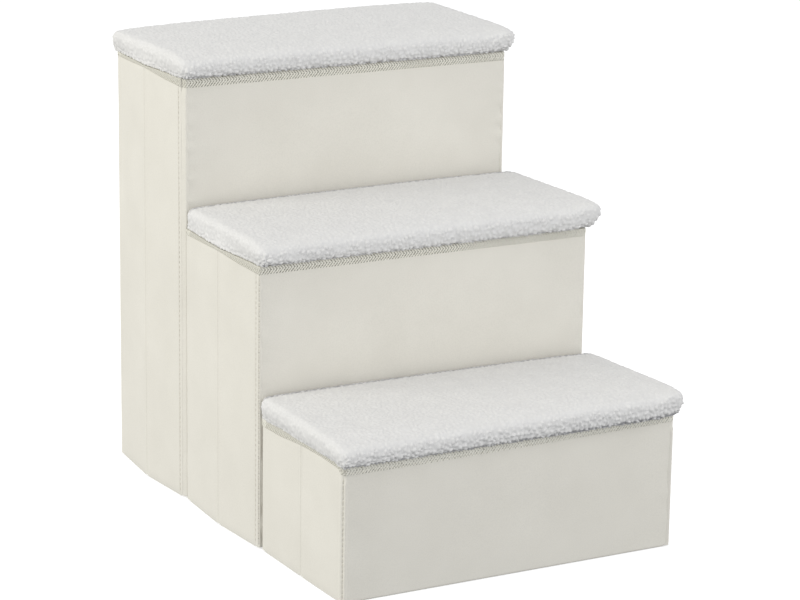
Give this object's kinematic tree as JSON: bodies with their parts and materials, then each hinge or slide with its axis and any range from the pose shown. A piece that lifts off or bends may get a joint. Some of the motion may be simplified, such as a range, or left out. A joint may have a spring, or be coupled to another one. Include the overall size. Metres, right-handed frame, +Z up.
{
  "type": "pet stairs",
  "caption": "Pet stairs made of fold-flat fabric storage boxes in a row, each closed by a padded pile-covered lift-off lid that serves as a step.",
  "frame": {"origin": "middle of the footprint on the floor, at the middle of the object's box", "axes": "+Z up, the low step faces -Y and the tall step stands at +Y, +X to the right seen from the front"},
  "size_m": [0.424, 0.575, 0.5062],
  "materials": {
    "cover_fabric": "short-napped cream velvet cover fabric",
    "binding_tape": "open woven grey-beige binding tape",
    "stitching": "polyester sewing thread",
    "pile": "white curly sherpa pile",
    "lining": "pale non-woven lining",
    "foam": "soft open-cell foam pad",
    "board": "pressed fibreboard",
    "hook_and_loop": "hook and loop strip"
  },
  "bodies": {
    "tall_back": {"tall_back_cover": "cover_fabric", "tall_back_board": "board", "tall_floor_cloth": "lining"},
    "tall_left_rear": {"tall_left_rear_cover": "cover_fabric", "tall_left_rear_board": "board"},
    "tall_left_front": {"tall_left_front_cover": "cover_fabric", "tall_left_front_board": "board"},
    "tall_right_rear": {"tall_right_rear_cover": "cover_fabric", "tall_right_rear_board": "board"},
    "tall_right_front": {"tall_right_front_cover": "cover_fabric", "tall_right_front_board": "board"},
    "tall_front": {"tall_front_cover": "cover_fabric", "tall_front_board": "board", "mid_back_cover": "cover_fabric", "mid_back_board": "board", "mid_floor_cloth": "lining", "mid_hook_strips": "hook_and_loop", "mid_loop_strips": "hook_and_loop"},
    "tall_lid": {"tall_lid_cover": "pile", "tall_lid_foam": "foam", "tall_lid_board": "board", "tall_lid_lining": "lining"},
    "mid_left_rear": {"mid_left_rear_cover": "cover_fabric", "mid_left_rear_board": "board"},
    "mid_left_front": {"mid_left_front_cover": "cover_fabric", "mid_left_front_board": "board"},
    "mid_right_rear": {"mid_right_rear_cover": "cover_fabric", "mid_right_rear_board": "board"},
    "mid_right_front": {"mid_right_front_cover": "cover_fabric", "mid_right_front_board": "board"},
    "mid_front": {"mid_front_cover": "cover_fabric", "mid_front_board": "board", "low_back_cover": "cover_fabric", "low_back_board": "board", "low_floor_cloth": "lining", "low_hook_strips": "hook_and_loop", "low_loop_strips": "hook_and_loop"},
    "mid_lid": {"mid_lid_cover": "pile", "mid_lid_foam": "foam", "mid_lid_board": "board", "mid_lid_lining": "lining"},
    "low_left_rear": {"low_left_rear_cover": "cover_fabric", "low_left_rear_board": "board"},
    "low_left_front": {"low_left_front_cover": "cover_fabric", "low_left_front_board": "board"},
    "low_right_rear": {"low_right_rear_cover": "cover_fabric", "low_right_rear_board": "board"},
    "low_right_front": {"low_right_front_cover": "cover_fabric", "low_right_front_board": "board"},
    "low_front": {"low_front_cover": "cover_fabric", "low_front_board": "board"},
    "low_lid": {"low_lid_cover": "pile", "low_lid_foam": "foam", "low_lid_board": "board", "low_lid_lining": "lining"}
  },
  "joints": [
    {"name": "tall_left_rear_corner", "type": "hinge", "parent": "tall_back", "child": "tall_left_rear", "pos_m": [-0.1941, 0.2759, 0.239], "axis": [0, 0, -1], "range_deg": [-94.31, 0], "deforming": ["tall_floor_cloth"]},
    {"name": "tall_left_crease", "type": "hinge", "parent": "tall_left_rear", "child": "tall_left_front", "pos_m": [-0.20724, 0.1895, 0.239], "axis": [0, 0, 1], "range_deg": [-188.63, 0]},
    {"name": "tall_fold", "type": "hinge", "parent": "tall_left_front", "child": "tall_front", "pos_m": [-0.1941, 0.1031, 0.239], "axis": [0, 0, -1], "range_deg": [-94.31, 0]},
    {"name": "tall_right_rear_corner", "type": "hinge", "parent": "tall_back", "child": "tall_right_rear", "pos_m": [0.1941, 0.2759, 0.239], "axis": [0, 0, 1], "range_deg": [-94.31, 0]},
    {"name": "tall_right_crease", "type": "hinge", "parent": "tall_right_rear", "child": "tall_right_front", "pos_m": [0.20724, 0.1895, 0.239], "axis": [0, 0, -1], "range_deg": [-188.63, 0]},
    {"name": "tall_lid_lift", "type": "slide", "parent": "tall_back", "child": "tall_lid", "axis": [0, 0, 1], "range_m": [0, 0.13]},
    {"name": "mid_left_rear_corner", "type": "hinge", "parent": "tall_front", "child": "mid_left_rear", "pos_m": [-0.1941, 0.0889, 0.156], "axis": [0, 0, -1], "range_deg": [-93.65, 0], "deforming": ["mid_floor_cloth"]},
    {"name": "mid_left_crease", "type": "hinge", "parent": "mid_left_rear", "child": "mid_left_front", "pos_m": [-0.20622, 0.0025, 0.156], "axis": [0, 0, 1], "range_deg": [-187.3, 0]},
    {"name": "mid_fold", "type": "hinge", "parent": "mid_left_front", "child": "mid_front", "pos_m": [-0.1941, -0.0839, 0.156], "axis": [0, 0, -1], "range_deg": [-93.65, 0]},
    {"name": "mid_right_rear_corner", "type": "hinge", "parent": "tall_front", "child": "mid_right_rear", "pos_m": [0.1941, 0.0889, 0.156], "axis": [0, 0, 1], "range_deg": [-93.65, 0]},
    {"name": "mid_right_crease", "type": "hinge", "parent": "mid_right_rear", "child": "mid_right_front", "pos_m": [0.20622, 0.0025, 0.156], "axis": [0, 0, -1], "range_deg": [-187.3, 0]},
    {"name": "mid_lid_lift", "type": "slide", "parent": "tall_front", "child": "mid_lid", "axis": [0, 0, 1], "range_m": [0, 0.13]},
    {"name": "low_left_rear_corner", "type": "hinge", "parent": "mid_front", "child": "low_left_rear", "pos_m": [-0.1941, -0.0981, 0.073], "axis": [0, 0, -1], "range_deg": [-90.66, 0], "deforming": ["low_floor_cloth"]},
    {"name": "low_left_crease", "type": "hinge", "parent": "low_left_rear", "child": "low_left_front", "pos_m": [-0.2017, -0.1845, 0.073], "axis": [0, 0, 1], "range_deg": [-181.33, 0]},
    {"name": "low_fold", "type": "hinge", "parent": "low_left_front", "child": "low_front", "pos_m": [-0.1941, -0.2709, 0.073], "axis": [0, 0, -1], "range_deg": [-90.66, 0]},
    {"name": "low_right_rear_corner", "type": "hinge", "parent": "mid_front", "child": "low_right_rear", "pos_m": [0.1941, -0.0981, 0.073], "axis": [0, 0, 1], "range_deg": [-90.66, 0]},
    {"name": "low_right_crease", "type": "hinge", "parent": "low_right_rear", "child": "low_right_front", "pos_m": [0.2017, -0.1845, 0.073], "axis": [0, 0, -1], "range_deg": [-181.33, 0]},
    {"name": "low_lid_lift", "type": "slide", "parent": "mid_front", "child": "low_lid", "axis": [0, 0, 1], "range_m": [0, 0.13]}
  ],
  "couplings": [
    {"joint": "tall_left_crease", "follows": "tall_fold", "ratio": 2},
    {"joint": "tall_left_rear_corner", "follows": "tall_fold", "ratio": 1},
    {"joint": "tall_right_rear_corner", "follows": "tall_fold", "ratio": 1},
    {"joint": "tall_right_crease", "follows": "tall_fold", "ratio": 2},
    {"joint": "mid_left_crease", "follows": "mid_fold", "ratio": 2},
    {"joint": "mid_left_rear_corner", "follows": "mid_fold", "ratio": 1},
    {"joint": "mid_right_rear_corner", "follows": "mid_fold", "ratio": 1},
    {"joint": "mid_right_crease", "follows": "mid_fold", "ratio": 2},
    {"joint": "low_left_crease", "follows": "low_fold", "ratio": 2},
    {"joint": "low_left_rear_corner", "follows": "low_fold", "ratio": 1},
    {"joint": "low_right_rear_corner", "follows": "low_fold", "ratio": 1},
    {"joint": "low_right_crease", "follows": "low_fold", "ratio": 2}
  ]
}
